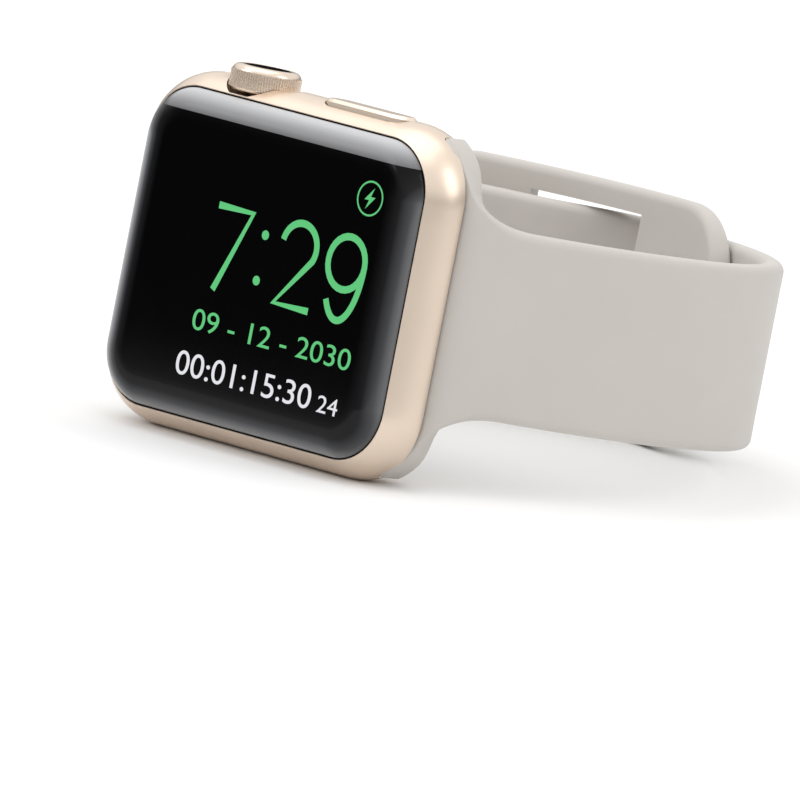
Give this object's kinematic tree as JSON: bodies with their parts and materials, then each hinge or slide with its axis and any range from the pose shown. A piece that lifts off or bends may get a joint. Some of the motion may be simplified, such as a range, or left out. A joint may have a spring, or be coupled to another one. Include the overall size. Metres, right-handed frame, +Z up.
{
  "type": "smartwatch",
  "caption": "Square smartwatch with rounded corners, turning crown, side button and a closed elastomer band whose straps slide out of channels in the case.",
  "frame": {"origin": "middle of the bounding box, on the surface the watch lies on", "axes": "+Z up through the crown side, +X towards the six o'clock end and its strap with the holes, the display faces -Y; the watch leans back about 6 degrees, so its own axes are turned that much about X"},
  "size_m": [0.065, 0.0618, 0.0375],
  "materials": {
    "case_aluminium": "bead-blasted and anodised champagne gold",
    "pin_aluminium": "polished and anodised champagne gold",
    "cover_glass": "polished, edges curved",
    "display_panel": "black, lit figures",
    "black_seal": "moulded",
    "crown_cap": "polished black",
    "steel": "machined",
    "brass_bushing": "turned",
    "switch_dome": "moulded with a metal dome",
    "battery_foil": "black pouch foil",
    "circuit_board": "solder mask",
    "inner_plastic": "moulded",
    "back_cover": "composite, polished",
    "sensor_window": "dark polished dome",
    "sensor_optics": "clear lens over a sensor",
    "coil_wire": "enamelled copper",
    "magnet": "plated",
    "band_elastomer": "matt moulded elastomer, warm light grey"
  },
  "bodies": {
    "watch_case": {"case_housing": "case_aluminium", "cover_glass": "cover_glass", "display_gasket": "black_seal", "display_panel": "display_panel", "crown_bushing": "brass_bushing", "crown_switch": "switch_dome", "crown_bracket": "steel", "side_button_switch": "switch_dome", "side_button_bracket": "steel", "bracket_screws": "steel", "battery": "battery_foil", "logic_board": "circuit_board", "haptic_motor": "steel", "speaker": "inner_plastic", "microphone": "steel", "back_cover": "back_cover", "back_gasket": "black_seal", "sensor_window": "sensor_window", "sensor_optics": "sensor_optics", "charging_coil": "coil_wire", "charging_magnet": "magnet"},
    "crown_carriage": {"crown_shear_plate": "steel"},
    "crown": {"crown_knob": "case_aluminium", "crown_cap": "crown_cap", "crown_shaft": "steel", "crown_seal_ring": "black_seal", "crown_encoder_disc": "steel"},
    "side_button": {"side_button_cap": "case_aluminium", "side_button_stems": "steel"},
    "holes_release": {"holes_release_button": "case_aluminium"},
    "pin_release": {"pin_release_button": "case_aluminium"},
    "holes_strap": {"band_holes_strap": "band_elastomer", "holes_lug_spring": "steel"},
    "pin_strap": {"band_pin_strap": "band_elastomer", "closure_pin": "pin_aluminium", "closure_pin_base": "pin_aluminium", "pin_lug_spring": "steel"},
    "holes_catch": {"holes_lug_catch": "steel"},
    "pin_catch": {"pin_lug_catch": "steel"}
  },
  "joints": [
    {"name": "crown_push", "type": "slide", "parent": "watch_case", "child": "crown_carriage", "axis": [0, -0.1056, -0.9944], "range_m": [0, 0.0003], "stiffness_N_per_m": 1500},
    {"name": "crown_spin", "type": "hinge", "parent": "crown_carriage", "child": "crown", "pos_m": [-0.00835, -0.02213, 0.03719], "axis": [0, 0.1056, 0.9944], "continuous": true},
    {"name": "side_button_push", "type": "slide", "parent": "watch_case", "child": "side_button", "axis": [0, -0.1056, -0.9944], "range_m": [0, 0.0003], "stiffness_N_per_m": 1500},
    {"name": "holes_release_push", "type": "slide", "parent": "watch_case", "child": "holes_release", "axis": [0, -0.9944, 0.1056], "range_m": [0, 0.0004], "stiffness_N_per_m": 500},
    {"name": "pin_release_push", "type": "slide", "parent": "watch_case", "child": "pin_release", "axis": [0, -0.9944, 0.1056], "range_m": [0, 0.0004], "stiffness_N_per_m": 500},
    {"name": "holes_strap_slide", "type": "slide", "parent": "watch_case", "child": "holes_strap", "axis": [0, 0.1056, 0.9944], "range_m": [0, 0.0359]},
    {"name": "pin_strap_slide", "type": "slide", "parent": "watch_case", "child": "pin_strap", "axis": [0, 0.1056, 0.9944], "range_m": [0, 0.0359]},
    {"name": "holes_catch_push", "type": "slide", "parent": "holes_strap", "child": "holes_catch", "axis": [0, -0.9944, 0.1056], "range_m": [0, 0.0004], "stiffness_N_per_m": 300, "deforming": ["holes_lug_spring"]},
    {"name": "pin_catch_push", "type": "slide", "parent": "pin_strap", "child": "pin_catch", "axis": [0, -0.9944, 0.1056], "range_m": [0, 0.0004], "stiffness_N_per_m": 300, "deforming": ["pin_lug_spring"]}
  ],
  "couplings": [
    {"joint": "pin_strap_slide", "follows": "holes_strap_slide", "ratio": 1},
    {"joint": "holes_catch_push", "follows": "holes_release_push", "ratio": 1},
    {"joint": "pin_catch_push", "follows": "pin_release_push", "ratio": 1}
  ]
}
